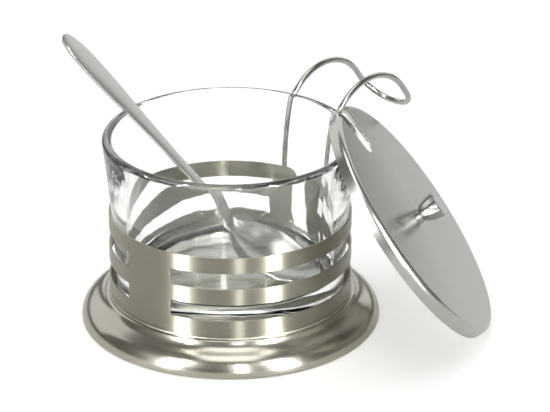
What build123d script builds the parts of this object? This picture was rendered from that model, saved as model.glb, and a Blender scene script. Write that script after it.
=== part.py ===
from build123d import *

from math import asin, atan, atan2, cos, degrees, radians, sin, sqrt
import os

# Condiment server: a glass bowl standing in a steel holder with a wire handle,
# a loose lid leaning on the bowl's rim, and a teaspoon resting in the bowl.
# Millimetres and degrees. Origin: the bowl's axis on the table. +Z up, the handle points along +Y.

# Foot of the holder: pressed sheet, flared, with its rim turned under
foot_height = 12.3
foot_flare = 10.3         # from the ledge out to the foot's rim
foot_sheet = 0.8
foot_ledge = 0.9          # flat left outside the band
foot_shoulder = 1.3       # bend radius at the ledge
foot_steep = 58.0         # slope just below the ledge
foot_hollow = 7.0         # radius of the concave part
foot_slope = 24.0         # slope of the straight part
foot_rim_bend = 1.4       # radius of the turned-under rim
foot_flange = 2.2         # flat part of the turned-under rim

# Band of the holder: slotted strip rolled to an open C
band_radius = 47.8
band_sheet = 0.6
band_width = 34.1
band_strap = 6.5          # height of the upper two straps
slot_height = 6.8
slot_web = 22.0           # solid width left opposite the handle, along the band
slot_start = 17.0         # from the handle's middle plane to where the slots start, along the band
band_opening = 9.4        # gap between the two ends of the strip
band_corner = 5.0         # rounded top corners of the strip's ends

# Wire handle
wire_diameter = 2.3
wire_spacing = 24.4       # between the centre-lines of the legs
wire_weld = 0.08          # how far the weld sinks the wire into the band
leg_start = 4.0           # above the foot
leg_length = 56.8         # up to the knee
leg_bow = 125.0           # radius of the outward curve above the band, round the flaring glass
knee_radius = 7.0
rise_angle = 43.5
knee_straight = 0.5
arch_radius = 24.9
fall_angle = 53.8
tail_length = 3.4
loop_corner = 11.4

# Glass bowl
rim_radius = 50.0
bowl_height = 65.3
bowl_clearance = 0.35     # between the glass and the band's top edge
bowl_taper = 1.8          # how much narrower the glass is at its foot than at the band's top
rim_wall = 3.8
low_wall = 4.3
floor_thickness = 9.0
heel_radius = 4.0
inner_corner = 6.0
punt_depth = 0.9
foot_ring = 5.0           # width of the ring that the glass stands on

# Lid: pressed sheet pan with a spoon notch
lid_radius = 52.2
lid_sheet = 0.8
lid_depth = 5.3
lid_fold = 2.4
lid_crown = 1.0
notch_width = 10.0
notch_reach = 20.8        # from the lid's edge inwards
notch_turn = 8.0          # from straight up the slope

# Where the lid lies: it stands on the table and leans on the glass
lean_tilt = 54.0          # between the lid's axis and the vertical
lean_azimuth = 39.4       # from +X
lean_aside = 3.2          # sideways, clockwise seen from above
lean_gap = 0.15           # between the sheet's edge plane and the glass

# Knob and its screw
knob_foot_radius = 3.2
knob_foot_height = 0.7
knob_neck_radius = 2.7    # the groove that shows as a dark line
knob_waist = 4.3          # height at which the flare slows
knob_waist_radius = 4.5
knob_top_radius = 5.3
knob_height = 9.6
knob_edge = 0.3
screw_radius = 1.5
screw_clearance = 0.1
screw_seat = 0.02         # between the screw's head and the crowned sheet
screw_length = 6.0
screw_head_radius = 2.9
screw_head_height = 1.7
screw_slot_width = 0.8
screw_slot_depth = 0.8

# Teaspoon
spoon_azimuth = 13.0      # from +X, the way the spoon points
spoon_aside = 2.3         # sideways from the bowl's axis
handle_sheet = 1.2
handle_length = 92.0      # from the end to the neck's upper corner
handle_widest = 17.0      # from the end to the widest place
handle_width = 10.3
taper_pull = 16.0         # how slowly the width starts to fall
neck_width = 4.4
neck_root_width = 9.0     # where the neck meets the spoon's bowl
neck_ahead = 8.0          # from the narrowest place to the bend
neck_slope = 58.0
neck_exit = 34.0          # slope where the neck enters the spoon's bowl
neck_bend = 12.0
neck_length = 7.7         # between the corners of its two bends
neck_root = 3.2           # from the lower corner to the spoon's bowl
neck_overlap = 0.9        # how far the neck runs into the wall of the spoon's bowl
spoon_bowl_length = 38.0
spoon_bowl_width = 29.0
spoon_bowl_depth = 7.4
spoon_bowl_sheet = 1.1
spoon_bowl_slope = 20.0   # slope of the spoon bowl's rim
spoon_widest = 0.46       # share of the bowl's length from the neck to the widest place
spoon_gap = 0.5           # between the spoon and the glass
spoon_tip_room = 4.7      # from the spoon's tip to the glass wall

# Places worked out from the sizes above
foot_top = foot_height
band_top = foot_top + band_width
band_inner = band_radius - band_sheet
ledge_radius = band_radius + foot_ledge
foot_radius = ledge_radius + foot_flare
wire_radius = wire_diameter / 2
rim_top = foot_top + bowl_height
lip = rim_wall / 2
bowl_waist = band_inner - bowl_clearance
bowl_foot_radius = bowl_waist - bowl_taper
inner_radius = bowl_foot_radius - low_wall
inner_floor = foot_top + floor_thickness

os.makedirs("parts", exist_ok=True)


def finish(piece, name):
    """Label a finished piece and write it under its own name."""
    piece.label = name
    export_step(piece, f"parts/{name}.step")


# Foot: a line along the outside of the sheet, given its thickness inwards and turned round the axis
with BuildPart() as base_saucer:
    with BuildSketch(Plane.XZ):
        with BuildLine():
            top_line = Line((0, foot_top), (ledge_radius, foot_top))
            shoulder = JernArc(top_line @ 1, (1, 0), foot_shoulder, -foot_steep)
            hollow = JernArc(shoulder @ 1, shoulder % 1, foot_hollow, foot_steep - foot_slope)
            out = foot_radius - (hollow @ 1).X
            down = (hollow @ 1).Y - foot_rim_bend
            slope = radians(foot_slope)
            round_radius = (down * cos(slope) - out * sin(slope)) / (1 - sin(slope))
            straight = (out - round_radius * (1 - sin(slope))) / cos(slope)
            flank = Line(hollow @ 1, hollow @ 1 + (hollow % 1) * straight)
            brow = JernArc(flank @ 1, flank % 1, round_radius, foot_slope - 90)
            hem = JernArc(brow @ 1, (0, -1), foot_rim_bend, -90)
            Line(hem @ 1, hem @ 1 - (foot_flange, 0))
            offset(amount=foot_sheet, side=Side.RIGHT)
        make_face()
    revolve(axis=Axis.Z)
finish(base_saucer.part, "base_saucer")


def around(length, radius):
    """Angle in degrees that a length along a circle takes."""
    return degrees(length / radius)


# Band: a turned ring, two rows of slots cut on each side, and the gap cut under the handle
slot_sweep = 180 - around(slot_start, band_radius) - around(slot_web / 2, band_radius)
with BuildPart() as holder_band:
    with BuildSketch(Plane.XZ):
        with Locations(((band_inner + band_radius) / 2, foot_top)):
            Rectangle(band_sheet, band_width, align=(Align.CENTER, Align.MIN))
    revolve(axis=Axis.Z)
    for row in range(2):
        slot_top = band_top - band_strap - row * (band_strap + slot_height)
        for start in (around(slot_start, band_radius), -around(slot_start, band_radius) - slot_sweep):
            with BuildSketch(Plane.YZ.rotated((0, 0, -start))):
                with Locations((band_radius, slot_top)):
                    Rectangle(4 * band_sheet, slot_height, align=(Align.CENTER, Align.MAX))
            revolve(axis=Axis.Z, revolution_arc=-slot_sweep, mode=Mode.SUBTRACT)
    with BuildSketch(Plane.XZ):
        with Locations((0, band_top)):
            Rectangle(band_opening + 2 * band_corner, 2 * band_corner)
        round_x = band_opening / 2 + band_corner
        with Locations((-round_x, band_top - band_corner), (round_x, band_top - band_corner)):
            Circle(band_corner, mode=Mode.SUBTRACT)
        with Locations((0, band_top)):
            Rectangle(band_opening, 3 * band_width)
    extrude(amount=-2 * band_radius, mode=Mode.SUBTRACT)
finish(holder_band.part, "holder_band")

# Wire handle: half of the bent line in the plane of one leg, the crossbar's corner, and their mirror image
leg_x = wire_spacing / 2
leg_y = sqrt((band_radius + wire_radius - wire_weld) ** 2 - leg_x**2)
leg_bottom = foot_top + leg_start
bow_angle = degrees((leg_bottom + leg_length - band_top) / leg_bow)
with BuildPart() as wire_handle:
    with BuildLine() as wire_line:
        with BuildLine(Plane.YZ.offset(leg_x)):
            leg = Line((leg_y, leg_bottom), (leg_y, band_top))
            bow = JernArc(leg @ 1, (0, 1), leg_bow, -bow_angle)
            knee = JernArc(bow @ 1, bow % 1, knee_radius, rise_angle - 90 + bow_angle)
            rise = Line(knee @ 1, knee @ 1 + (knee % 1) * knee_straight)
            arch = JernArc(rise @ 1, rise % 1, arch_radius, -rise_angle - fall_angle)
            tail = Line(arch @ 1, arch @ 1 + (arch % 1) * tail_length)
        inward = Vector(-1, 0, 0)
        corner = TangentArc(
            tail @ 1,
            tail @ 1 + (tail % 1) * loop_corner + inward * loop_corner,
            tangent=tail % 1,
        )
        Line(corner @ 1, corner @ 1 + inward * (leg_x - loop_corner))
        mirror(about=Plane.YZ)
    with BuildSketch(Plane.XY.offset(leg_bottom)):
        with Locations((leg_x, leg_y)):
            Circle(wire_radius)
    sweep(path=wire_line.wires()[0])
finish(wire_handle.part, "wire_handle")

# Glass bowl: thick pressed glass, its wall flaring slightly to a rounded rim
with BuildPart() as glass_bowl:
    with BuildSketch(Plane.XZ):
        with BuildLine():
            ring_inner = bowl_foot_radius - heel_radius - foot_ring
            punt = ThreePointArc(
                (0, foot_top + punt_depth),
                (ring_inner / 2, foot_top + punt_depth * 0.75),
                (ring_inner, foot_top),
            )
            stand = Line(punt @ 1, (bowl_foot_radius - heel_radius, foot_top))
            heel = JernArc(stand @ 1, (1, 0), heel_radius, 90)
            outer = ThreePointArc(heel @ 1, (bowl_waist, band_top), (rim_radius, rim_top - lip))
            edge = ThreePointArc(
                outer @ 1,
                (rim_radius - lip, rim_top),
                (rim_radius - rim_wall, rim_top - lip),
            )
            inner_low = (inner_radius, inner_floor + inner_corner)
            inner = TangentArc(inner_low, edge @ 1, tangent=(0, 1))
            cove = JernArc(inner_low, (0, -1), inner_corner, -90)
            Line(cove @ 1, (0, inner_floor))
            Line((0, inner_floor), punt @ 0)
        make_face()
    revolve(axis=Axis.Z)
finish(glass_bowl.part, "glass_bowl")

# The lid's own plane: its origin is the middle of the edge of the lid's top, x runs up the slope
tilt = radians(lean_tilt)
lean = Vector(cos(radians(lean_azimuth)), sin(radians(lean_azimuth)), 0)
aside = Vector(-lean.Y, lean.X, 0)
lid_normal = lean * sin(tilt) + Vector(0, 0, cos(tilt))
lid_up = lean * -cos(tilt) + Vector(0, 0, sin(tilt))
lid_height = lid_radius * sin(tilt) + lid_depth * cos(tilt)
touch = (rim_radius - lip) * sin(tilt) + (rim_top - lip) * cos(tilt) + lip + lid_sheet + lean_gap
lid_out = (touch - lid_height * cos(tilt)) / sin(tilt)
lid_centre = lean * lid_out - aside * lean_aside + Vector(0, 0, lid_height)
lid_plane = Plane(origin=lid_centre, x_dir=lid_up, z_dir=lid_normal)
lid_section = Plane(origin=lid_centre, x_dir=lid_up, z_dir=lid_up.cross(lid_normal))
lid_axis = Axis(lid_centre, lid_normal)

# Lid: a slightly crowned disc with its edge folded down, and the notch for the spoon
crown_edge = lid_radius - lid_fold
crown_angle = degrees(2 * atan(lid_crown / crown_edge))
crown_radius = crown_edge / sin(radians(crown_angle))
with BuildPart() as lid:
    with BuildSketch(lid_section):
        with BuildLine():
            crown = JernArc((0, lid_crown), (1, 0), crown_radius, -crown_angle)
            fold = JernArc(crown @ 1, crown % 1, lid_fold, crown_angle - 90)
            Line(fold @ 1, ((fold @ 1).X, -lid_depth))
            offset(amount=lid_sheet, side=Side.RIGHT)
        make_face()
    revolve(axis=lid_axis)
    with BuildSketch(lid_plane):
        with PolarLocations(0, 1, start_angle=-notch_turn):
            with Locations((lid_radius - notch_reach + notch_width / 2, 0)):
                Circle(notch_width / 2)
                Rectangle(2 * notch_reach, notch_width, align=(Align.MIN, Align.CENTER))
    extrude(amount=lid_depth + lid_crown, both=True, mode=Mode.SUBTRACT)
    with BuildSketch(lid_plane):
        Circle(screw_radius + screw_clearance)
    extrude(amount=2 * lid_crown + lid_sheet, both=True, mode=Mode.SUBTRACT)
finish(lid.part, "lid")

# Knob: a flared turning on a small foot, drilled from below
with BuildPart() as lid_knob:
    with BuildSketch(lid_section):
        with BuildLine():
            foot_edge = lid_crown + knob_foot_height
            Polyline(
                (screw_radius, lid_crown),
                (knob_foot_radius, lid_crown),
                (knob_foot_radius, foot_edge),
                (knob_neck_radius, foot_edge),
                (knob_neck_radius, foot_edge + knob_edge),
                (knob_foot_radius, foot_edge + 2 * knob_edge),
            )
            flare = Spline(
                (knob_foot_radius, foot_edge + 2 * knob_edge),
                (knob_waist_radius, lid_crown + knob_waist),
                (knob_top_radius, lid_crown + knob_height - knob_edge),
            )
            Polyline(
                flare @ 1,
                (knob_top_radius - knob_edge, lid_crown + knob_height),
                (0, lid_crown + knob_height),
                (0, lid_crown + screw_length),
                (screw_radius, lid_crown + screw_length),
                (screw_radius, lid_crown),
            )
        make_face()
    revolve(axis=lid_axis)
finish(lid_knob.part, "lid_knob")

# Screw: its head under the sheet, its shank through the lid and into the knob
under_lid = lid_crown - lid_sheet - screw_seat
with BuildPart() as knob_screw:
    with BuildSketch(lid_plane.offset(under_lid - screw_head_height)):
        Circle(screw_head_radius)
    extrude(amount=screw_head_height)
    fillet(knob_screw.faces().sort_by(lid_axis)[0].edges(), radius=screw_head_height / 2)
    with BuildSketch(lid_plane.offset(under_lid)):
        Circle(screw_radius)
    extrude(amount=lid_sheet + screw_length - screw_seat)
    with BuildSketch(lid_plane.offset(under_lid - screw_head_height)):
        Rectangle(3 * screw_head_radius, screw_slot_width)
    extrude(amount=screw_slot_depth, mode=Mode.SUBTRACT)
finish(knob_screw.part, "knob_screw")

# The spoon's place, in a vertical plane a little aside of the axis: its bowl stands on the glass floor,
# and from the neck's upper corner the handle runs straight up over the rim and rests on it
spoon_along = Vector(cos(radians(spoon_azimuth)), sin(radians(spoon_azimuth)), 0)
spoon_across = spoon_along.cross(Vector(0, 0, 1))
spoon_side = Plane(origin=spoon_across * -spoon_aside, x_dir=spoon_along, z_dir=spoon_across)


def downward(slope):
    """Direction along the spoon, falling at a slope in degrees, in the spoon's plane."""
    return Vector(cos(radians(slope)), -sin(radians(slope)))


def upright(slope):
    """Direction square to the one above, away from the table."""
    return Vector(sin(radians(slope)), cos(radians(slope)))


down_bowl = downward(spoon_bowl_slope)
off_bowl = upright(spoon_bowl_slope)
neck_half = spoon_widest * spoon_bowl_length
tip_half = spoon_bowl_length - neck_half
belly = sqrt((tip_half * down_bowl.Y) ** 2 + (spoon_bowl_depth * off_bowl.Y) ** 2)
bowl_reach = inner_radius - spoon_tip_room - tip_half * down_bowl.X
bowl_middle = Vector(bowl_reach, inner_floor + spoon_gap + belly)
neck_tip = bowl_middle - down_bowl * neck_half - off_bowl * (handle_sheet / 2)
lower_corner = neck_tip - downward(neck_exit) * neck_root
upper_corner = lower_corner - downward(neck_slope) * neck_length
lip_reach = sqrt((rim_radius - lip) ** 2 - spoon_aside**2)
to_lip = Vector(-lip_reach, rim_top - lip) - upper_corner
over_lip = lip + spoon_gap + handle_sheet / 2
handle_slope = degrees(atan2(to_lip.Y, -to_lip.X) + asin(over_lip / to_lip.length))
down_handle = downward(handle_slope)
off_handle = upright(handle_slope)
handle_tip = upper_corner - down_handle * handle_length

# The spoon's bowl: an egg-shaped shell made of two half ellipsoids, its tip half longer than its neck half
quarter = Sphere(1, arc_size1=-90, arc_size2=0, arc_size3=180, rotation=(0, 0, -90), align=None)
half_width = spoon_bowl_width / 2


def egg(less):
    """Lower half of the egg shape, smaller all round by a thickness."""
    tip = scale(quarter, by=(tip_half - less, half_width - less, spoon_bowl_depth - less))
    neck = scale(quarter, by=(neck_half - less, half_width - less, spoon_bowl_depth - less))
    return tip + Rot(0, 0, 180) * neck


spoon_bowl_outside = egg(0)
spoon_bowl_inside = egg(spoon_bowl_sheet)

# Teaspoon: a bent strip cut to the handle's outline, joined to the bowl
with BuildPart() as spoon:
    with BuildSketch(spoon_side):
        with BuildLine():
            neck_end = neck_tip + downward(neck_exit) * neck_overlap
            FilletPolyline(handle_tip, upper_corner, lower_corner, neck_end, radius=neck_bend)
            offset(amount=handle_sheet / 2, side=Side.BOTH)
        make_face()
    extrude(amount=handle_width, both=True)
    handle_plan = Plane(
        origin=spoon_side.from_local_coords((handle_tip.X, handle_tip.Y, 0)),
        x_dir=spoon_side.from_local_coords(down_handle) - spoon_side.origin,
        z_dir=spoon_side.from_local_coords(off_handle) - spoon_side.origin,
    )
    with BuildSketch(handle_plan):
        with BuildLine():
            widest = Vector(handle_widest, handle_width / 2)
            narrowest = Vector(handle_length - neck_ahead, neck_width / 2)
            root = Vector((neck_end - handle_tip).dot(down_handle), neck_root_width / 2)
            Bezier((0, 0), (0, 0.6 * widest.Y), widest - (0.55 * handle_widest, 0), widest)
            Bezier(widest, widest + (taper_pull, 0), narrowest - (2 * taper_pull, 0), narrowest)
            edge = Bezier(narrowest, narrowest + (neck_ahead, 0), root - (neck_ahead, neck_width / 2), root)
            Line(edge @ 1, ((edge @ 1).X, 0))
            mirror(about=Plane.XZ)
        make_face()
    extrude(amount=handle_length, both=True, mode=Mode.INTERSECT)
    bowl_plane = Plane(
        origin=spoon_side.from_local_coords((bowl_middle.X, bowl_middle.Y, 0)),
        x_dir=spoon_side.from_local_coords(down_bowl) - spoon_side.origin,
        z_dir=spoon_side.from_local_coords(off_bowl) - spoon_side.origin,
    )
    add(bowl_plane.location * spoon_bowl_outside)
    add(bowl_plane.location * spoon_bowl_inside, mode=Mode.SUBTRACT)
finish(spoon.part, "spoon")
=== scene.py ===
"""Looks of the condiment server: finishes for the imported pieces, small weld pieces, studio and camera.

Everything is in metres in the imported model's own frame: the bowl's axis on the table is the origin,
Z points up and the wire handle points along +Y.
"""

import logging
from collections.abc import Callable
from dataclasses import dataclass
from enum import Enum
from math import asin, atan2, cos, degrees, pi, radians, sin, sqrt

import bpy
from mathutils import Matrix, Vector

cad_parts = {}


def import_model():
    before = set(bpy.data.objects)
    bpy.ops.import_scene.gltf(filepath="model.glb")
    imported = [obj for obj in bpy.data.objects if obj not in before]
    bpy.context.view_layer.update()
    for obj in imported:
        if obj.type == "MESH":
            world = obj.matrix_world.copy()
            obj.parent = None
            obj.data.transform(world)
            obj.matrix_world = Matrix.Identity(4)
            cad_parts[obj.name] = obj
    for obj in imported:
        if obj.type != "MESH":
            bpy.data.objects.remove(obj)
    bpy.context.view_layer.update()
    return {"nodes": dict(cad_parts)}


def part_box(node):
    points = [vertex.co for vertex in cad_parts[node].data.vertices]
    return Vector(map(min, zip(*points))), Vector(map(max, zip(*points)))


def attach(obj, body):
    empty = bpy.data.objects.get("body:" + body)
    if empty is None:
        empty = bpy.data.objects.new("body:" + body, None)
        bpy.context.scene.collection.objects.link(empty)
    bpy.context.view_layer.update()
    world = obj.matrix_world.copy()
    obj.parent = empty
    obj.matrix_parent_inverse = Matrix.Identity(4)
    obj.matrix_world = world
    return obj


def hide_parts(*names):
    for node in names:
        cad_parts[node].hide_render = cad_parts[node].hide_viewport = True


log = logging.getLogger("condiment_server")

MM = 0.001
# Slow patches of a polished sheet, and the reach from its axis at which a finish's line length holds
PATCH_SIZE = 15 * MM
USUAL_REACH = 50 * MM
# Edges flatter than this are shaded smooth, and vertices nearer than this are one
SMOOTH_ANGLE = radians(40)
MERGE_DISTANCE = 0.001 * MM
Triple = tuple[float, float, float]


class Body(Enum):
    """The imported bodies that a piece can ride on."""

    HOLDER = "holder"
    GLASS = "glass"
    LID = "lid"
    SPOON = "spoon"


class Grain(Enum):
    """How the lines of a metal finish run."""

    AROUND = "round the piece's own axis"
    ALONG = "along one direction"
    NONE = "no lines, only a faint ripple"


def linear(colour: str) -> tuple[float, float, float, float]:
    """Turns an sRGB colour into the linear one that Blender's sockets take.

    Args:
        colour: six hex digits after a #.

    Returns:
        Linear red, green, blue and an alpha of 1.
    """
    channels = [int(colour[i : i + 2], 16) / 255 for i in (1, 3, 5)]
    red, green, blue = (c / 12.92 if c <= 0.04045 else ((c + 0.055) / 1.055) ** 2.4 for c in channels)
    return red, green, blue, 1.0


def add_node(
    tree: bpy.types.NodeTree,
    kind: str,
    values: dict | None = None,
    links: dict | None = None,
    **settings: object,
) -> bpy.types.Node:
    """Adds one node with its settings, its sockets' values and its links.

    Args:
        tree: the node tree that gets the node.
        kind: Blender's type name of the node.
        values: value by input socket, named or numbered.
        links: source socket by input socket, named or numbered.
        settings: the node's own properties.

    Returns:
        The new node.
    """
    node = tree.nodes.new(kind)
    for name, value in settings.items():
        setattr(node, name, value)
    for socket, value in (values or {}).items():
        node.inputs[socket].default_value = value
    for socket, source in (links or {}).items():
        tree.links.new(source, node.inputs[socket])
    return node


def new_material(name: str) -> tuple[bpy.types.Material, bpy.types.NodeTree]:
    """Makes an empty node material.

    Args:
        name: the material's name.

    Returns:
        The material and its node tree.
    """
    material = bpy.data.materials.new(name)
    material.use_nodes = True
    material.node_tree.nodes.clear()
    return material, material.node_tree


@dataclass(frozen=True)
class SteelFinish:
    """A stainless or plated steel surface: its colour, its polish and the lines left by its making.

    The lines run round an axis through the origin given, or along it. Anisotropy smears what the metal
    reflects across the lines, and the edge is a radius too small to model.
    """

    name: str
    light: str
    shade: str
    roughness: float
    roughness_spread: float
    anisotropy: float
    grain: Grain
    line_width: float
    line_length: float
    line_depth: float
    origin: Triple = (0.0, 0.0, 0.0)
    axis: Triple = (0.0, 0.0, 1.0)
    edge: float = 0.15 * MM

    def _pattern(self, tree: bpy.types.NodeTree, place: bpy.types.NodeSocket) -> bpy.types.NodeSocket:
        """Makes the coordinates in which the finish's lines are one unit wide.

        Args:
            tree: the material's node tree.
            place: the point on the piece, from the axis's origin.

        Returns:
            The socket with the pattern's coordinates.
        """
        along = add_node(
            tree, "ShaderNodeVectorMath", {1: self.axis}, {0: place}, operation="DOT_PRODUCT"
        )
        if self.grain is Grain.ALONG:
            # Short steps across the axis and long ones along it draw out the noise into lines
            run = add_node(tree, "ShaderNodeVectorMath", {3: -1.0}, {0: place}, operation="SCALE")
            part = add_node(
                tree,
                "ShaderNodeVectorMath",
                {0: self.axis},
                {3: along.outputs["Value"]},
                operation="SCALE",
            )
            across = add_node(
                tree,
                "ShaderNodeVectorMath",
                None,
                {0: run.outputs[0], 1: part.outputs[0]},
                operation="ADD",
            )
            fine = add_node(
                tree,
                "ShaderNodeVectorMath",
                {3: 1 / self.line_width},
                {0: across.outputs[0]},
                operation="SCALE",
            )
            coarse = add_node(
                tree,
                "ShaderNodeVectorMath",
                {3: 1 / self.line_length},
                {0: part.outputs[0]},
                operation="SCALE",
            )
            both = add_node(
                tree,
                "ShaderNodeVectorMath",
                None,
                {0: fine.outputs[0], 1: coarse.outputs[0]},
                operation="ADD",
            )
            return both.outputs[0]
        # The direction round the axis changes slowly, and reach less height steps from line to line
        rise = add_node(
            tree, "ShaderNodeVectorMath", {0: self.axis}, {3: along.outputs["Value"]}, operation="SCALE"
        )
        flat = add_node(
            tree, "ShaderNodeVectorMath", None, {0: place, 1: rise.outputs[0]}, operation="SUBTRACT"
        )
        reach = add_node(tree, "ShaderNodeVectorMath", None, {0: flat.outputs[0]}, operation="LENGTH")
        total = add_node(
            tree,
            "ShaderNodeMath",
            None,
            {0: reach.outputs["Value"], 1: along.outputs["Value"]},
            operation="SUBTRACT",
        )
        steps = add_node(
            tree,
            "ShaderNodeMath",
            {1: 1 / self.line_width},
            {0: total.outputs[0]},
            operation="MULTIPLY",
        )
        way = add_node(tree, "ShaderNodeVectorMath", None, {0: flat.outputs[0]}, operation="NORMALIZE")
        turn = add_node(
            tree,
            "ShaderNodeVectorMath",
            {3: USUAL_REACH / self.line_length},
            {0: way.outputs[0]},
            operation="SCALE",
        )
        spread = add_node(
            tree,
            "ShaderNodeVectorMath",
            {1: self.axis},
            {0: turn.outputs[0]},
            operation="CROSS_PRODUCT",
        )
        lift = add_node(
            tree, "ShaderNodeVectorMath", {0: self.axis}, {3: steps.outputs[0]}, operation="SCALE"
        )
        both = add_node(
            tree,
            "ShaderNodeVectorMath",
            None,
            {0: spread.outputs[0], 1: lift.outputs[0]},
            operation="ADD",
        )
        return both.outputs[0]

    def build(self) -> bpy.types.Material:
        """Builds the finish as a node material on Object coordinates.

        Returns:
            The material.
        """
        material, tree = new_material(self.name)
        coordinates = add_node(tree, "ShaderNodeTexCoord")
        place = add_node(
            tree,
            "ShaderNodeVectorMath",
            {1: self.origin},
            {0: coordinates.outputs["Object"]},
            operation="SUBTRACT",
        )
        # Slow patches, where handling and polishing left the sheet a little different
        patches = add_node(
            tree,
            "ShaderNodeTexNoise",
            {"Scale": 1 / PATCH_SIZE, "Detail": 2.0},
            {"Vector": place.outputs[0]},
        )
        if self.grain is Grain.NONE:
            pattern = add_node(
                tree,
                "ShaderNodeVectorMath",
                {3: 1 / self.line_width},
                {0: place.outputs[0]},
                operation="SCALE",
            ).outputs[0]
        else:
            pattern = self._pattern(tree, place.outputs[0])
        lines = add_node(
            tree,
            "ShaderNodeTexNoise",
            {"Scale": 1.0, "Detail": 3.0, "Roughness": 0.6},
            {"Vector": pattern},
        )
        # Half lines, half patches
        blend = add_node(
            tree,
            "ShaderNodeMix",
            {0: 0.5},
            {2: lines.outputs["Fac"], 3: patches.outputs["Fac"]},
            data_type="FLOAT",
        )
        colour = add_node(
            tree,
            "ShaderNodeMix",
            {6: linear(self.shade), 7: linear(self.light)},
            {0: blend.outputs[0]},
            data_type="RGBA",
        )
        roughness = add_node(
            tree,
            "ShaderNodeMapRange",
            {
                "From Min": 0.3,
                "From Max": 0.7,
                "To Min": self.roughness - self.roughness_spread,
                "To Max": self.roughness + self.roughness_spread,
            },
            {"Value": blend.outputs[0]},
        )
        # Pressed and cut edges are broken a little, so they catch the light as a thin line
        rounding = add_node(tree, "ShaderNodeBevel", {"Radius": self.edge}, samples=4)
        bump = add_node(
            tree,
            "ShaderNodeBump",
            {"Strength": 1.0, "Distance": self.line_depth},
            {"Height": lines.outputs["Fac"], "Normal": rounding.outputs["Normal"]},
        )
        # The quarter turn sets the smear across the lines
        metal = add_node(
            tree,
            "ShaderNodeBsdfPrincipled",
            {"Metallic": 1.0, "Anisotropic": self.anisotropy, "Anisotropic Rotation": 0.25},
            {
                "Base Color": colour.outputs[2],
                "Roughness": roughness.outputs["Result"],
                "Normal": bump.outputs["Normal"],
            },
        )
        if self.grain is Grain.AROUND:
            round_way = add_node(
                tree,
                "ShaderNodeVectorMath",
                {0: self.axis},
                {1: place.outputs[0]},
                operation="CROSS_PRODUCT",
            )
            tree.links.new(round_way.outputs[0], metal.inputs["Tangent"])
        elif self.grain is Grain.ALONG:
            line_way = add_node(tree, "ShaderNodeCombineXYZ", dict(enumerate(self.axis)))
            tree.links.new(line_way.outputs[0], metal.inputs["Tangent"])
        add_node(tree, "ShaderNodeOutputMaterial", None, {"Surface": metal.outputs[0]})
        return material


@dataclass(frozen=True)
class GlassFinish:
    """Clear pressed soda-lime glass, fire-polished after it left the mould."""

    name: str = "pressed_soda_lime_glass"
    tint: str = "#fdfefe"
    ior: float = 1.52
    roughness: float = 0.0
    wave_length: float = 9 * MM
    wave_depth: float = 0.05 * MM

    def build(self) -> bpy.types.Material:
        """Builds the glass: clear, with the slow unevenness that pressing leaves.

        Returns:
            The material.
        """
        material, tree = new_material(self.name)
        coordinates = add_node(tree, "ShaderNodeTexCoord")
        # Waves some 9 mm long bend what is seen through the wall, as in all pressed glass
        waves = add_node(
            tree,
            "ShaderNodeTexNoise",
            {"Scale": 1 / self.wave_length, "Detail": 1.0},
            {"Vector": coordinates.outputs["Object"]},
        )
        bump = add_node(
            tree,
            "ShaderNodeBump",
            {"Strength": 1.0, "Distance": self.wave_depth},
            {"Height": waves.outputs["Fac"]},
        )
        glass = add_node(
            tree,
            "ShaderNodeBsdfPrincipled",
            {
                "Base Color": linear(self.tint),
                "Roughness": self.roughness,
                "IOR": self.ior,
                "Transmission Weight": 1.0,
            },
            {"Normal": bump.outputs["Normal"]},
        )
        add_node(tree, "ShaderNodeOutputMaterial", None, {"Surface": glass.outputs[0]})
        return material


# Satin stainless sheet, brushed round the holder's axis: a warm grey on which lamps draw
# upright streaks
BAND_STEEL = SteelFinish(
    name="satin_stainless_band",
    light="#b2afa2",
    shade="#969385",
    roughness=0.31,
    roughness_spread=0.03,
    anisotropy=1.0,
    grain=Grain.AROUND,
    line_width=0.3 * MM,
    line_length=30 * MM,
    line_depth=0.004 * MM,
)
# The same sheet pressed into the foot and polished brighter, so that it shows soft patches of light
FOOT_STEEL = SteelFinish(
    name="polished_stainless_foot",
    light="#c0beb3",
    shade="#a9a69a",
    roughness=0.2,
    roughness_spread=0.05,
    anisotropy=0.3,
    grain=Grain.AROUND,
    line_width=0.4 * MM,
    line_length=40 * MM,
    line_depth=0.003 * MM,
)
# Drawn stainless wire, tumbled bright: nearly a mirror, with a faint ripple
WIRE_STEEL = SteelFinish(
    name="bright_drawn_wire",
    light="#c4c4c0",
    shade="#acaca8",
    roughness=0.12,
    roughness_spread=0.03,
    anisotropy=0.0,
    grain=Grain.NONE,
    line_width=1.5 * MM,
    line_length=1.5 * MM,
    line_depth=0.004 * MM,
)
# Weld metal, pickled and bright: rougher and more uneven than the sheet round it
WELD_STEEL = SteelFinish(
    name="pickled_weld",
    light="#d5d3ca",
    shade="#a5a297",
    roughness=0.3,
    roughness_spread=0.08,
    anisotropy=0.0,
    grain=Grain.NONE,
    line_width=0.5 * MM,
    line_length=0.5 * MM,
    line_depth=0.03 * MM,
)


def deselect() -> None:
    """Leaves object mode's selection empty."""
    for item in bpy.context.selected_objects:
        item.select_set(False)


def select_faces(piece: bpy.types.Object, wanted: Callable[[bpy.types.MeshPolygon], bool]) -> None:
    """Enters edit mode with only the wanted faces selected.

    Args:
        piece: the active mesh object, in object mode.
        wanted: says of each face whether it is selected.
    """
    bpy.ops.object.mode_set(mode="EDIT")
    bpy.ops.mesh.select_mode(type="FACE")
    bpy.ops.mesh.select_all(action="DESELECT")
    bpy.ops.object.mode_set(mode="OBJECT")
    for face in piece.data.polygons:
        face.select = wanted(face)
    bpy.ops.object.mode_set(mode="EDIT")


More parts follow.
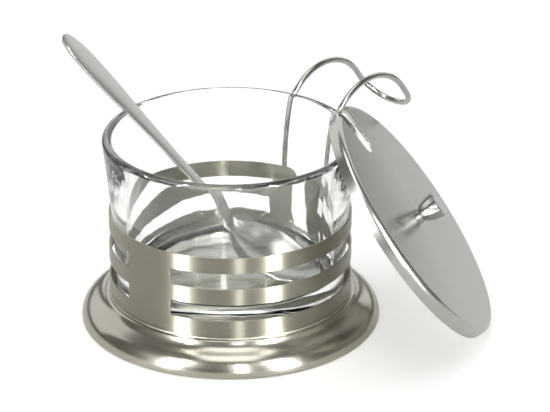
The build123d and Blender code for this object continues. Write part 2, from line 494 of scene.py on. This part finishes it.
def settle(piece: bpy.types.Object) -> None:
    """Applies a piece's modifiers and its place, so that its object stands at the origin.

    Args:
        piece: the new mesh object.
    """
    deselect()
    piece.select_set(True)
    bpy.context.view_layer.objects.active = piece
    for modifier in list(piece.modifiers):
        bpy.ops.object.modifier_apply(modifier=modifier.name)
    bpy.ops.object.transform_apply(location=True, rotation=True, scale=True)
    bpy.ops.object.shade_smooth_by_angle(angle=SMOOTH_ANGLE)


def dress(piece: bpy.types.Object, material: bpy.types.Material) -> None:
    """Gives a piece one material in all its slots.

    Args:
        piece: the object.
        material: the finish.
    """
    if not piece.data.materials:
        piece.data.materials.append(material)
    for index in range(len(piece.data.materials)):
        piece.data.materials[index] = material


def report(piece: bpy.types.Object, body: Body) -> None:
    """Logs a finished piece, its body and its size.

    Args:
        piece: the object.
        body: the body that it rides on.
    """
    size = [round(length / MM, 1) for length in piece.dimensions]
    log.info("%s on %s, %d faces, %s mm", piece.name, body.value, len(piece.data.polygons), size)


@dataclass
class Holder:
    """The steel stand: foot, slotted band, wire handle, and the weld beads that join them."""

    nodes: dict
    band_radius: float = 47.8 * MM
    band_bottom: float = 12.3 * MM
    band_opening: float = 9.4 * MM
    seam_radius: float = 0.35 * MM
    seam_sides: int = 10
    seam_steps: int = 180
    leg_spacing: float = 24.4 * MM
    bead_heights: tuple[float, ...] = (19.0 * MM, 43.0 * MM)
    bead_size: Triple = (0.9 * MM, 0.5 * MM, 2.4 * MM)
    bead_segments: int = 20
    bead_rings: int = 12

    def seam(self) -> bpy.types.Object:
        """Models the thin weld line between band and foot, open where the band is open.

        Returns:
            The weld line.
        """
        half_gap = asin(self.band_opening / 2 / self.band_radius)
        start = pi / 2 + half_gap
        deselect()
        bpy.ops.mesh.primitive_circle_add(
            vertices=self.seam_sides,
            radius=self.seam_radius,
            fill_type="NGON",
            location=(self.band_radius * cos(start), self.band_radius * sin(start), self.band_bottom),
            rotation=(pi / 2, 0, start),
        )
        piece = bpy.context.object
        piece.name = "foot_weld"
        bpy.ops.object.mode_set(mode="EDIT")
        bpy.ops.mesh.select_all(action="SELECT")
        bpy.ops.mesh.spin(
            steps=self.seam_steps,
            angle=2 * pi - 2 * half_gap,
            center=(0, 0, self.band_bottom),
            axis=(0, 0, 1),
        )
        bpy.ops.mesh.select_all(action="SELECT")
        bpy.ops.mesh.remove_doubles(threshold=MERGE_DISTANCE)
        bpy.ops.mesh.normals_make_consistent(inside=False)
        bpy.ops.object.mode_set(mode="OBJECT")
        settle(piece)
        return piece

    def beads(self) -> bpy.types.Object:
        """Models the weld beads between the wire's legs and the band.

        Returns:
            One piece with all the beads.
        """
        made = []
        for side in (-1, 1):
            for height in self.bead_heights:
                x = side * self.leg_spacing / 2
                y = sqrt(self.band_radius**2 - x**2)
                deselect()
                bpy.ops.mesh.primitive_uv_sphere_add(
                    segments=self.bead_segments,
                    ring_count=self.bead_rings,
                    radius=1.0,
                    location=(x, y, height),
                    rotation=(0, 0, -atan2(x, y)),
                    scale=self.bead_size,
                )
                made.append(bpy.context.object)
        deselect()
        for piece in made:
            piece.select_set(True)
        bpy.context.view_layer.objects.active = made[0]
        bpy.ops.object.join()
        piece = bpy.context.object
        piece.name = "wire_welds"
        settle(piece)
        return piece

    def build(self) -> None:
        """Builds the weld pieces and dresses the whole stand."""
        finishes = {"holder_band": BAND_STEEL, "base_saucer": FOOT_STEEL, "wire_handle": WIRE_STEEL}
        for name, finish in finishes.items():
            dress(self.nodes[name], finish.build())
            report(self.nodes[name], Body.HOLDER)
        weld = WELD_STEEL.build()
        for piece, slot in ((self.seam(), "band_steel"), (self.beads(), "wire_steel")):
            dress(piece, weld)
            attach(piece, Body.HOLDER.value)
            report(piece, Body.HOLDER)


@dataclass
class GlassBowl:
    """The pressed glass bowl."""

    nodes: dict
    finish: GlassFinish = GlassFinish()

    def build(self) -> None:
        """Dresses the bowl."""
        dress(self.nodes["glass_bowl"], self.finish.build())
        report(self.nodes["glass_bowl"], Body.GLASS)


@dataclass
class LeaningLid:
    """The loose lid with its knob and screw."""

    nodes: dict
    tilt: float = radians(54.0)
    azimuth: float = radians(39.4)

    def axis(self) -> Vector:
        """Returns the lid's own axis."""
        flat = Vector((cos(self.azimuth), sin(self.azimuth), 0))
        return flat * sin(self.tilt) + Vector((0, 0, cos(self.tilt)))

    def build(self) -> None:
        """Dresses the lid, the knob and the screw."""
        low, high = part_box("knob_screw")
        centre = tuple((low + high) / 2)
        axis = tuple(self.axis())
        finishes = {
            # Spun satin stainless: an even light grey with a soft sheen, in which the knob is seen
            "lid": SteelFinish(
                name="spun_satin_stainless",
                light="#c8c7c2",
                shade="#b9b8b3",
                roughness=0.23,
                roughness_spread=0.03,
                anisotropy=0.3,
                grain=Grain.AROUND,
                line_width=0.3 * MM,
                line_length=30 * MM,
                line_depth=0.003 * MM,
                origin=centre,
                axis=axis,
            ),
            # Chrome plate over turned brass: dark and light reflections with hard borders
            "lid_knob": SteelFinish(
                name="chrome_plated_turning",
                light="#c8c8c8",
                shade="#b9b9b9",
                roughness=0.08,
                roughness_spread=0.02,
                anisotropy=0.0,
                grain=Grain.AROUND,
                line_width=0.15 * MM,
                line_length=20 * MM,
                line_depth=0.002 * MM,
                origin=centre,
                axis=axis,
            ),
            # Zinc plate on a small screw: a dull, faintly blue grey
            "knob_screw": SteelFinish(
                name="zinc_plated_screw",
                light="#b4b6b8",
                shade="#9c9ea0",
                roughness=0.3,
                roughness_spread=0.05,
                anisotropy=0.0,
                grain=Grain.NONE,
                line_width=0.8 * MM,
                line_length=0.8 * MM,
                line_depth=0.004 * MM,
            ),
        }
        for name, finish in finishes.items():
            dress(self.nodes[name], finish.build())
            report(self.nodes[name], Body.LID)


@dataclass
class Teaspoon:
    """The stamped teaspoon that rests in the bowl: one sheet, curved as a press would leave it.

    Places along the spoon are lengths from the handle's end. The line gives the corners of its upper
    side from there to the bowl's tip, as distance along the table and height, in an upright plane that
    lies aside of the bowl's axis.
    """

    azimuth: float = radians(13.0)
    aside: float = 2.3 * MM
    slope: float = radians(39.5)
    line: tuple[tuple[float, float], ...] = (
        (-76.85 * MM, 104.11 * MM),
        (-6.14 * MM, 45.81 * MM),
        (-2.08 * MM, 39.31 * MM),
        (0.4 * MM, 37.62 * MM),
        (36.05 * MM, 24.66 * MM),
    )
    bend_reach: float = 2.4 * MM
    bend_steps: int = 8
    sheet: float = 1.1 * MM
    edge_radius: float = 0.3 * MM
    edge_segments: int = 3
    edge_angle: float = radians(50)
    widest_at: float = 17.0 * MM
    narrowest_at: float = 84.0 * MM
    handle_half: float = 5.15 * MM
    neck_half: float = 2.2 * MM
    root_half: float = 3.6 * MM
    early_pull: float = 16.0 * MM
    late_pull: float = 32.0 * MM
    crown: float = 0.25 * MM
    bowl_half_width: float = 14.5 * MM
    bowl_to_neck: float = 17.5 * MM
    bowl_to_tip: float = 20.5 * MM
    bowl_depth: float = 6.3 * MM
    channel: float = 3.5 * MM
    shoulder: float = 0.75
    end_power: float = 2.4
    root_power: float = 3.0
    section_power: float = 2.2
    search_rounds: int = 24
    merge_distance: float = 0.02 * MM
    stations: int = 150
    columns: int = 22

    def path(self) -> list[Vector]:
        """Rounds the corners of the spoon's line.

        Returns:
            Close points on the line, from the handle's end to the tip of the bowl.
        """
        corners = [Vector(point) for point in self.line]
        points = [corners[0]]
        for before, corner, after in zip(corners, corners[1:], corners[2:]):
            near = min((before - corner).length, (after - corner).length) / 2
            reach = min(self.bend_reach, near)
            start = corner + (before - corner).normalized() * reach
            end = corner + (after - corner).normalized() * reach
            for step in range(self.bend_steps + 1):
                share = step / self.bend_steps
                points.append(
                    start * (1 - share) ** 2 + corner * 2 * share * (1 - share) + end * share**2
                )
        points.append(corners[-1])
        return points

    def half_width(self, along: float, middle: float) -> float:
        """Gives the spoon's half width at a place.

        Args:
            along: from the handle's end.
            middle: where the bowl's middle is, from the handle's end.

        Returns:
            Half the width there.
        """
        if along < self.widest_at:
            power = self.end_power
            return self.handle_half * max(0.0, 1 - (1 - along / self.widest_at) ** power) ** (1 / power)
        if along < self.narrowest_at:
            low, high = 0.0, 1.0
            reaches = (
                self.widest_at,
                self.widest_at + self.early_pull,
                self.narrowest_at - self.late_pull,
                self.narrowest_at,
            )
            for _ in range(self.search_rounds):
                t = (low + high) / 2
                here = sum(reach * weight for reach, weight in zip(reaches, self.weights(t)))
                low, high = (t, high) if here < along else (low, t)
            first, second, third, fourth = self.weights(low)
            return self.handle_half * (first + second) + self.neck_half * (third + fourth)
        root = middle - self.bowl_to_neck - self.narrowest_at
        share = min(1.0, (along - self.narrowest_at) / root)
        neck = self.neck_half + (self.root_half - self.neck_half) * share**2
        length = self.bowl_to_neck if along < middle else self.bowl_to_tip
        round_share = max(0.0, 1 - ((along - middle) / length) ** 2)
        if along > middle:
            return self.bowl_half_width * sqrt(round_share)
        oval = self.bowl_half_width * round_share**self.shoulder
        return (neck**self.root_power + oval**self.root_power) ** (1 / self.root_power)

    @staticmethod
    def weights(t: float) -> tuple[float, float, float, float]:
        """Returns the four weights of a cubic curve at t."""
        return (1 - t) ** 3, 3 * t * (1 - t) ** 2, 3 * t**2 * (1 - t), t**3

    def sag(self, along: float, middle: float) -> float:
        """Gives how far the spoon's middle line lies under its edges.

        Args:
            along: from the handle's end.
            middle: where the bowl's middle is.

        Returns:
            The depth, below zero where the handle is crowned.
        """
        length = self.bowl_to_neck + self.channel if along < middle else self.bowl_to_tip
        share = abs(along - middle) / length
        if share < 1:
            return self.bowl_depth * (1 - share**2)
        fade = min(1.0, (middle - length - along) / (self.narrowest_at - self.widest_at))
        return -self.crown * fade

    def model(self) -> bpy.types.Object:
        """Models the spoon: a grid laid along the line, given its sheet's thickness and rounded edges.

        Returns:
            The finished spoon.
        """
        points = self.path()
        lengths = [0.0]
        for first, second in zip(points, points[1:]):
            lengths.append(lengths[-1] + (second - first).length)
        total = lengths[-1]
        middle = total - self.bowl_to_tip
        forward = Vector((cos(self.azimuth), sin(self.azimuth), 0))
        sideways = Vector((sin(self.azimuth), -cos(self.azimuth), 0))
        deselect()
        bpy.ops.mesh.primitive_grid_add(
            x_subdivisions=self.stations, y_subdivisions=self.columns, size=2
        )
        piece = bpy.context.object
        piece.name = "stamped_spoon"
        for vertex in piece.data.vertices:
            u, v = (vertex.co.x + 1) / 2, vertex.co.y
            # The rows lie closer together at both ends, where the width changes fastest
            along = total * (0.5 * u + 0.25 * (1 - cos(pi * u)))
            passed = (i for i, reached in enumerate(lengths) if reached >= along)
            index = max(1, next(passed, len(points) - 1))
            first, second = points[index - 1], points[index]
            way = (second - first).normalized()
            place = first + way * (along - lengths[index - 1])
            up = Vector((-way.y, way.x))
            place = place - up * self.sag(along, middle) * (1 - abs(v) ** self.section_power)
            aside = -v * self.half_width(along, middle) - self.aside
            vertex.co = forward * place.x + sideways * aside + Vector((0, 0, place.y))
        bpy.ops.object.mode_set(mode="EDIT")
        bpy.ops.mesh.select_all(action="SELECT")
        bpy.ops.mesh.remove_doubles(threshold=self.merge_distance)
        bpy.ops.object.mode_set(mode="OBJECT")
        wall = piece.modifiers.new("sheet", "SOLIDIFY")
        wall.thickness = self.sheet
        wall.offset = -1
        rounding = piece.modifiers.new("edges", "BEVEL")
        rounding.width = self.edge_radius
        rounding.segments = self.edge_segments
        rounding.limit_method = "ANGLE"
        rounding.angle_limit = self.edge_angle
        settle(piece)
        return piece

    def build(self) -> None:
        """Models the spoon in place of its plain solid and dresses it."""
        along = (
            cos(self.azimuth) * cos(self.slope),
            sin(self.azimuth) * cos(self.slope),
            -sin(self.slope),
        )
        # Stamped stainless, satin polished along the handle: an even pale grey with soft highlights
        finish = SteelFinish(
            name="satin_stamped_stainless",
            light="#cbcbc7",
            shade="#bebeba",
            roughness=0.24,
            roughness_spread=0.03,
            anisotropy=0.2,
            grain=Grain.ALONG,
            line_width=0.6 * MM,
            line_length=25 * MM,
            line_depth=0.002 * MM,
            origin=tuple(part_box("spoon")[0]),
            axis=along,
            edge=0.2 * MM,
        )
        piece = self.model()
        dress(piece, finish.build())
        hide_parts("spoon")
        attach(piece, Body.SPOON.value)
        report(piece, Body.SPOON)


@dataclass
class Studio:
    """Pale floor, white surroundings, soft lights and the camera of the photo.

    Turns are to the right of the camera, as in toward(). Lengths are in metres, powers in watts.
    """

    azimuth: float = radians(42.0)
    elevation: float = radians(24.28)
    distance: float = 1572.1 * MM
    aim_aside: float = 17.61 * MM
    aim_height: float = 47.12 * MM
    lens: float = 261.82
    sensor: float = 36.0
    clip: tuple[float, float] = (0.05, 50.0)
    floor_side: float = 6.0
    floor_cells: int = 8
    floor_paint: str = "#d6d6d4"
    floor_lift: float = 0.42
    mirrored_lift: float = 0.14
    fill: float = 0.72
    strip_angles: tuple[float, float] = (radians(-44.5), radians(41.0))
    strip_distance: float = 1.1
    strip_size: tuple[float, float] = (0.035, 1.3)
    strip_power: float = 44.0
    faint_turn: float = radians(8.5)
    faint_width: float = 0.12
    faint_power: float = 5.0
    top_size: tuple[float, float] = (0.55, 0.95)
    top_height: float = 1.2
    top_power: float = 3.6
    bounces: int = 24
    room_sides: int = 96
    room_colour: str = "#757571"
    room_radius: float = 1.5
    room_height: float = 1.6
    room_sill: float = 0.28
    room_opening: float = radians(120.0)
    room_turn: float = radians(185.0)

    def toward(self, turn: float, elevation: float) -> Vector:
        """Gives the direction from the object to a point round it.

        Args:
            turn: to the right of the camera, in radians, seen from the camera.
            elevation: above the horizon, in radians.

        Returns:
            A unit vector.
        """
        angle = self.azimuth + turn
        return Vector((sin(angle) * cos(elevation), -cos(angle) * cos(elevation), sin(elevation)))

    def shown_to_rays(self, tree: bpy.types.NodeTree) -> bpy.types.NodeSocket:
        """Tells camera, glossy and transmission rays from the rays that light the object.

        Args:
            tree: the node tree.

        Returns:
            A socket that is 1 for the rays that see the background and 0 for the others.
        """
        path = add_node(tree, "ShaderNodeLightPath")
        glossy = add_node(
            tree,
            "ShaderNodeMath",
            None,
            {0: path.outputs["Is Camera Ray"], 1: path.outputs["Is Glossy Ray"]},
            operation="MAXIMUM",
        )
        clear = add_node(
            tree,
            "ShaderNodeMath",
            None,
            {0: glossy.outputs[0], 1: path.outputs["Is Transmission Ray"]},
            operation="MAXIMUM",
        )
        return clear.outputs[0]

    def surroundings(self) -> None:
        """Makes the world: white where it is seen, and a plain fill light."""
        world = bpy.data.worlds.new("studio_white")
        world.use_nodes = True
        bpy.context.scene.world = world
        tree = world.node_tree
        tree.nodes.clear()
        seen = self.shown_to_rays(tree)
        light = add_node(tree, "ShaderNodeMix", {2: self.fill, 3: 1.0}, {0: seen}, data_type="FLOAT")
        background = add_node(
            tree, "ShaderNodeBackground", {"Color": (1, 1, 1, 1)}, {"Strength": light.outputs[0]}
        )
        add_node(tree, "ShaderNodeOutputWorld", None, {"Surface": background.outputs[0]})

    def floor(self) -> None:
        """Makes the pale floor: matt paint that keeps the shadow, lifted to white where it is seen."""
        deselect()
        bpy.ops.mesh.primitive_grid_add(
            x_subdivisions=self.floor_cells, y_subdivisions=self.floor_cells, size=self.floor_side
        )
        piece = bpy.context.object
        piece.name = "floor"
        material, tree = new_material("pale_studio_floor")
        path = add_node(tree, "ShaderNodeLightPath")
        seen = add_node(
            tree,
            "ShaderNodeMath",
            None,
            {0: path.outputs["Is Camera Ray"], 1: path.outputs["Is Transmission Ray"]},
            operation="MAXIMUM",
        )
        direct = add_node(
            tree, "ShaderNodeMath", {1: self.floor_lift}, {0: seen.outputs[0]}, operation="MULTIPLY"
        )
        mirrored = add_node(
            tree,
            "ShaderNodeMath",
            {1: self.mirrored_lift},
            {0: path.outputs["Is Glossy Ray"]},
            operation="MULTIPLY",
        )
        lift = add_node(
            tree,
            "ShaderNodeMath",
            None,
            {0: direct.outputs[0], 1: mirrored.outputs[0]},
            operation="ADD",
        )
        glow = add_node(
            tree, "ShaderNodeEmission", {"Color": (1, 1, 1, 1)}, {"Strength": lift.outputs[0]}
        )
        paint = add_node(tree, "ShaderNodeBsdfDiffuse", {"Color": linear(self.floor_paint)})
        both = add_node(tree, "ShaderNodeAddShader", None, {0: glow.outputs[0], 1: paint.outputs[0]})
        add_node(tree, "ShaderNodeOutputMaterial", None, {"Surface": both.outputs[0]})
        dress(piece, material)

    def lamp(
        self,
        name: str,
        place: Vector,
        size: tuple[float, float],
        power: float,
        aim: Vector,
        lit: bool,
    ) -> bpy.types.Object:
        """Adds one soft rectangular lamp.

        Args:
            name: the lamp's name.
            place: where it hangs.
            size: width and height.
            power: in watts.
            aim: the point that it faces.
            lit: whether it also lights matt surfaces.

        Returns:
            The lamp.
        """
        data = bpy.data.lights.new(name, "AREA")
        data.shape = "RECTANGLE"
        data.size, data.size_y = size
        data.energy = power
        lamp = bpy.data.objects.new(name, data)
        lamp.visible_diffuse = lit
        lamp.visible_camera = False
        bpy.context.scene.collection.objects.link(lamp)
        lamp.location = place
        lamp.rotation_euler = (aim - place).to_track_quat("-Z", "Y").to_euler()
        return lamp

    def lights(self) -> None:
        """Stands three tall strips round the camera's side and hangs a softbox above."""
        width, height = self.strip_size
        strips = [
            (f"strip_{index}", turn, width, self.strip_power)
            for index, turn in enumerate(self.strip_angles)
        ]
        strips.append(("faint_strip", self.faint_turn, self.faint_width, self.faint_power))
        for name, turn, wide, power in strips:
            place = self.toward(turn, 0) * self.strip_distance + Vector((0, 0, height / 2))
            self.lamp(name, place, (wide, height), power, Vector((0, 0, place.z)), False)
        above = Vector((0, 0, self.top_height))
        top = self.lamp("softbox", above, self.top_size, self.top_power, Vector((0, 0, 0)), True)
        top.rotation_euler = (0, 0, self.azimuth)

    def room(self) -> None:
        """Builds the grey side of the studio, open towards the backdrop: only reflections show it."""
        deselect()
        bpy.ops.mesh.primitive_circle_add(
            vertices=self.room_sides, radius=self.room_radius, fill_type="NGON"
        )
        piece = bpy.context.object
        piece.name = "dark_room"
        bpy.ops.object.mode_set(mode="EDIT")
        bpy.ops.mesh.select_all(action="SELECT")
        for rise in (self.room_sill, self.room_height - self.room_sill):
            bpy.ops.mesh.extrude_region_move(TRANSFORM_OT_translate={"value": (0, 0, rise)})
        bpy.ops.object.mode_set(mode="OBJECT")
        behind = self.toward(self.room_turn, 0)

        def is_open(face: bpy.types.MeshPolygon) -> bool:
            """Tells the bottom and the wall above the sill, towards the backdrop, from the rest.

            Args:
                face: a face of the room.

            Returns:
                Whether the room is open there.
            """
            is_level = abs(face.normal.z) > 0.5
            if is_level:
                return face.center.z < self.room_sill / 2
            faces_backdrop = face.center.xy.normalized().dot(behind.xy) > cos(self.room_opening / 2)
            return faces_backdrop and face.center.z > self.room_sill

        select_faces(piece, is_open)
        bpy.ops.mesh.delete(type="FACE")
        bpy.ops.object.mode_set(mode="OBJECT")
        # Grey cloth, evenly lit: the steel shows it as its mid tone
        material, tree = new_material("dark_studio_cloth")
        glow = add_node(
            tree, "ShaderNodeEmission", {"Color": linear(self.room_colour), "Strength": 1.0}
        )
        add_node(tree, "ShaderNodeOutputMaterial", None, {"Surface": glow.outputs[0]})
        dress(piece, material)
        for ray in ("camera", "diffuse", "transmission", "volume_scatter", "shadow"):
            setattr(piece, f"visible_{ray}", False)

    def camera(self) -> None:
        """Sets the camera at the photo's angle, with the photo's framing."""
        data = bpy.data.cameras.new("photo_camera")
        data.lens = self.lens
        data.sensor_width = self.sensor
        data.clip_start, data.clip_end = self.clip
        camera = bpy.data.objects.new("photo_camera", data)
        bpy.context.scene.collection.objects.link(camera)
        aim = Vector(
            (self.aim_aside * cos(self.azimuth), self.aim_aside * sin(self.azimuth), self.aim_height)
        )
        back = self.toward(0, self.elevation)
        camera.location = aim + back * self.distance
        camera.rotation_euler = (-back).to_track_quat("-Z", "Y").to_euler()
        bpy.context.scene.camera = camera

    def build(self) -> None:
        """Builds the studio and sets the plain view transform."""
        self.surroundings()
        self.floor()
        self.lights()
        self.room()
        self.camera()
        scene = bpy.context.scene
        scene.view_settings.view_transform = "Standard"
        # Light is reflected many times inside thick glass before it comes out
        scene.cycles.glossy_bounces = self.bounces
        scene.cycles.transmission_bounces = self.bounces
        scene.cycles.max_bounces = self.bounces
        angles = degrees(self.azimuth), degrees(self.elevation)
        log.info("studio: camera %.1f degrees round, %.1f up", *angles)


def main() -> None:
    """Loads the frame, dresses every sub-assembly in order and builds the studio."""
    logging.basicConfig(level=logging.INFO, format="%(name)s: %(message)s")
    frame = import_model()
    nodes = frame["nodes"]
    for assembly in (Holder(nodes), GlassBowl(nodes), LeaningLid(nodes), Teaspoon()):
        assembly.build()
    Studio().build()


if __name__ == "__main__":
    main()
